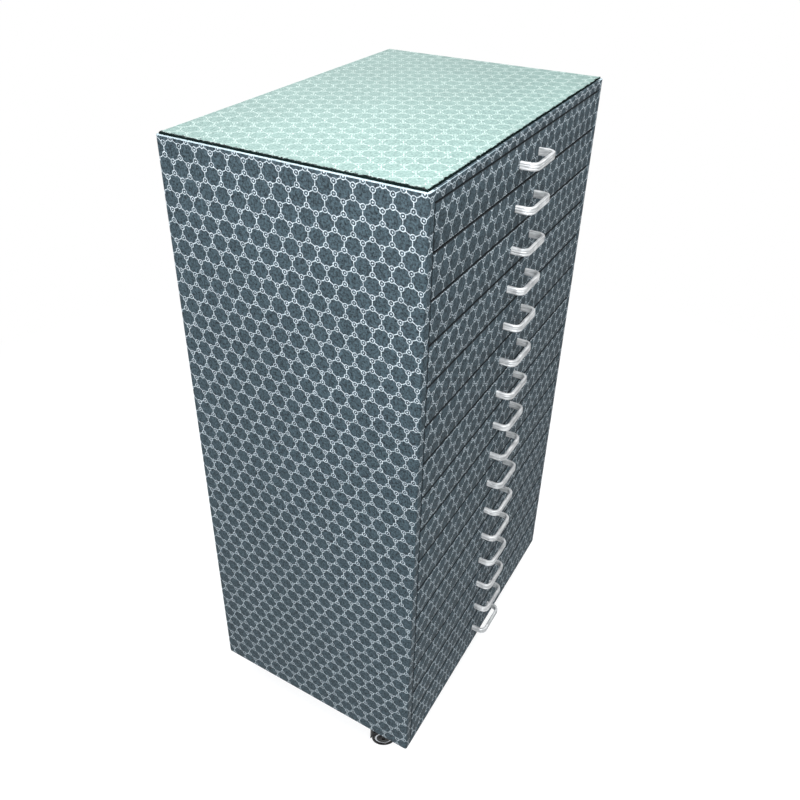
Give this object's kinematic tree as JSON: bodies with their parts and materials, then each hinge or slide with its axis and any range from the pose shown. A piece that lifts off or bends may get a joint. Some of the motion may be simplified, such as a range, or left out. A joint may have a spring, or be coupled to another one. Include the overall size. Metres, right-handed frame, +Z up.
{
  "type": "scrapbook paper storage drawers",
  "caption": "Tall narrow cabinet of shallow full-width drawers for craft paper, covered in patterned coated cloth, with bent bar pulls, side runners and twin-wheel swivel casters.",
  "frame": {"origin": "on the floor under the centre of the outline, pulls included", "axes": "+Z up, -Y towards the drawer fronts, +X to the right as seen from the front"},
  "size_m": [0.565, 0.4051, 1.03],
  "materials": {
    "covering": "coated cloth, slate",
    "cover_sheet": "coated cloth, paler slate",
    "board": "plain beech",
    "drawer_board": "paper lined board",
    "pull_metal": "satin",
    "zinc_steel": "zinc plated",
    "runner_nylon": "natural nylon",
    "caster_black": "gloss",
    "caster_wheel": "gloss side, satin tread"
  },
  "bodies": {
    "root": {"side_panel_left": "covering", "side_panel_right": "covering", "top_panel": "covering", "base_panel": "covering", "back_panel": "covering", "top_cover": "cover_sheet", "panel_dowels": "board", "back_screws": "zinc_steel", "runner_screws": "zinc_steel", "caster_screws": "zinc_steel", "runner_channels_left": "zinc_steel", "runner_channels_right": "zinc_steel", "caster_plate_front_left": "zinc_steel", "caster_plate_front_right": "zinc_steel", "caster_plate_rear_left": "zinc_steel", "caster_plate_rear_right": "zinc_steel"},
    "drawer_01": {"drawer_01": "drawer_board", "pull_01": "pull_metal"},
    "drawer_02": {"drawer_02": "drawer_board", "pull_02": "pull_metal"},
    "drawer_03": {"drawer_03": "drawer_board", "pull_03": "pull_metal"},
    "drawer_04": {"drawer_04": "drawer_board", "pull_04": "pull_metal"},
    "drawer_05": {"drawer_05": "drawer_board", "pull_05": "pull_metal"},
    "drawer_06": {"drawer_06": "drawer_board", "pull_06": "pull_metal"},
    "drawer_07": {"drawer_07": "drawer_board", "pull_07": "pull_metal"},
    "drawer_08": {"drawer_08": "drawer_board", "pull_08": "pull_metal"},
    "drawer_09": {"drawer_09": "drawer_board", "pull_09": "pull_metal"},
    "drawer_10": {"drawer_10": "drawer_board", "pull_10": "pull_metal"},
    "drawer_11": {"drawer_11": "drawer_board", "pull_11": "pull_metal"},
    "drawer_12": {"drawer_12": "drawer_board", "pull_12": "pull_metal"},
    "drawer_13": {"drawer_13": "drawer_board", "pull_13": "pull_metal"},
    "drawer_14": {"drawer_14": "drawer_board", "pull_14": "pull_metal"},
    "drawer_15": {"drawer_15": "drawer_board", "pull_15": "pull_metal"},
    "drawer_16": {"drawer_16": "drawer_board", "pull_16": "pull_metal"},
    "caster_front_left": {"caster_hood_front_left": "caster_black"},
    "wheel_front_left_outer": {"caster_wheel_front_left_outer": "caster_wheel"},
    "wheel_front_left_inner": {"caster_wheel_front_left_inner": "caster_wheel"},
    "caster_front_right": {"caster_hood_front_right": "caster_black"},
    "wheel_front_right_outer": {"caster_wheel_front_right_outer": "caster_wheel"},
    "wheel_front_right_inner": {"caster_wheel_front_right_inner": "caster_wheel"},
    "caster_rear_left": {"caster_hood_rear_left": "caster_black"},
    "wheel_rear_left_outer": {"caster_wheel_rear_left_outer": "caster_wheel"},
    "wheel_rear_left_inner": {"caster_wheel_rear_left_inner": "caster_wheel"},
    "caster_rear_right": {"caster_hood_rear_right": "caster_black"},
    "wheel_rear_right_outer": {"caster_wheel_rear_right_outer": "caster_wheel"},
    "wheel_rear_right_inner": {"caster_wheel_rear_right_inner": "caster_wheel"}
  },
  "joints": [
    {"name": "drawer_01_slide", "type": "slide", "parent": "root", "child": "drawer_01", "axis": [0, -1, 0], "range_m": [0, 0.25]},
    {"name": "drawer_02_slide", "type": "slide", "parent": "root", "child": "drawer_02", "axis": [0, -1, 0], "range_m": [0, 0.25]},
    {"name": "drawer_03_slide", "type": "slide", "parent": "root", "child": "drawer_03", "axis": [0, -1, 0], "range_m": [0, 0.25]},
    {"name": "drawer_04_slide", "type": "slide", "parent": "root", "child": "drawer_04", "axis": [0, -1, 0], "range_m": [0, 0.25]},
    {"name": "drawer_05_slide", "type": "slide", "parent": "root", "child": "drawer_05", "axis": [0, -1, 0], "range_m": [0, 0.25]},
    {"name": "drawer_06_slide", "type": "slide", "parent": "root", "child": "drawer_06", "axis": [0, -1, 0], "range_m": [0, 0.25]},
    {"name": "drawer_07_slide", "type": "slide", "parent": "root", "child": "drawer_07", "axis": [0, -1, 0], "range_m": [0, 0.25]},
    {"name": "drawer_08_slide", "type": "slide", "parent": "root", "child": "drawer_08", "axis": [0, -1, 0], "range_m": [0, 0.25]},
    {"name": "drawer_09_slide", "type": "slide", "parent": "root", "child": "drawer_09", "axis": [0, -1, 0], "range_m": [0, 0.25]},
    {"name": "drawer_10_slide", "type": "slide", "parent": "root", "child": "drawer_10", "axis": [0, -1, 0], "range_m": [0, 0.25]},
    {"name": "drawer_11_slide", "type": "slide", "parent": "root", "child": "drawer_11", "axis": [0, -1, 0], "range_m": [0, 0.25]},
    {"name": "drawer_12_slide", "type": "slide", "parent": "root", "child": "drawer_12", "axis": [0, -1, 0], "range_m": [0, 0.25]},
    {"name": "drawer_13_slide", "type": "slide", "parent": "root", "child": "drawer_13", "axis": [0, -1, 0], "range_m": [0, 0.25]},
    {"name": "drawer_14_slide", "type": "slide", "parent": "root", "child": "drawer_14", "axis": [0, -1, 0], "range_m": [0, 0.25]},
    {"name": "drawer_15_slide", "type": "slide", "parent": "root", "child": "drawer_15", "axis": [0, -1, 0], "range_m": [0, 0.25]},
    {"name": "drawer_16_slide", "type": "slide", "parent": "root", "child": "drawer_16", "axis": [0, -1, 0], "range_m": [0, 0.25]},
    {"name": "caster_front_left_swivel", "type": "hinge", "parent": "root", "child": "caster_front_left", "pos_m": [-0.2465, -0.1335, 0.05], "axis": [0, 0, 1], "continuous": true},
    {"name": "wheel_front_left_outer_spin", "type": "hinge", "parent": "caster_front_left", "child": "wheel_front_left_outer", "pos_m": [-0.2555, -0.11791, 0.02], "axis": [0.866, 0.5, 0], "continuous": true},
    {"name": "wheel_front_left_inner_spin", "type": "hinge", "parent": "caster_front_left", "child": "wheel_front_left_inner", "pos_m": [-0.2555, -0.11791, 0.02], "axis": [0.866, 0.5, 0], "continuous": true},
    {"name": "caster_front_right_swivel", "type": "hinge", "parent": "root", "child": "caster_front_right", "pos_m": [0.2465, -0.1335, 0.05], "axis": [0, 0, 1], "continuous": true},
    {"name": "wheel_front_right_outer_spin", "type": "hinge", "parent": "caster_front_right", "child": "wheel_front_right_outer", "pos_m": [0.24276, -0.11589, 0.02], "axis": [0.9781, 0.2079, 0], "continuous": true},
    {"name": "wheel_front_right_inner_spin", "type": "hinge", "parent": "caster_front_right", "child": "wheel_front_right_inner", "pos_m": [0.24276, -0.11589, 0.02], "axis": [0.9781, 0.2079, 0], "continuous": true},
    {"name": "caster_rear_left_swivel", "type": "hinge", "parent": "root", "child": "caster_rear_left", "pos_m": [-0.2465, 0.1585, 0.05], "axis": [0, 0, 1], "continuous": true},
    {"name": "wheel_rear_left_outer_spin", "type": "hinge", "parent": "caster_rear_left", "child": "wheel_rear_left_outer", "pos_m": [-0.23542, 0.17268, 0.02], "axis": [0.788, -0.6157, 0], "continuous": true},
    {"name": "wheel_rear_left_inner_spin", "type": "hinge", "parent": "caster_rear_left", "child": "wheel_rear_left_inner", "pos_m": [-0.23542, 0.17268, 0.02], "axis": [0.788, -0.6157, 0], "continuous": true},
    {"name": "caster_rear_right_swivel", "type": "hinge", "parent": "root", "child": "caster_rear_right", "pos_m": [0.2465, 0.1585, 0.05], "axis": [0, 0, 1], "continuous": true},
    {"name": "wheel_rear_right_outer_spin", "type": "hinge", "parent": "caster_rear_right", "child": "wheel_rear_right_outer", "pos_m": [0.23976, 0.17519, 0.02], "axis": [0.9272, 0.3746, 0], "continuous": true},
    {"name": "wheel_rear_right_inner_spin", "type": "hinge", "parent": "caster_rear_right", "child": "wheel_rear_right_inner", "pos_m": [0.23976, 0.17519, 0.02], "axis": [0.9272, 0.3746, 0], "continuous": true}
  ]
}
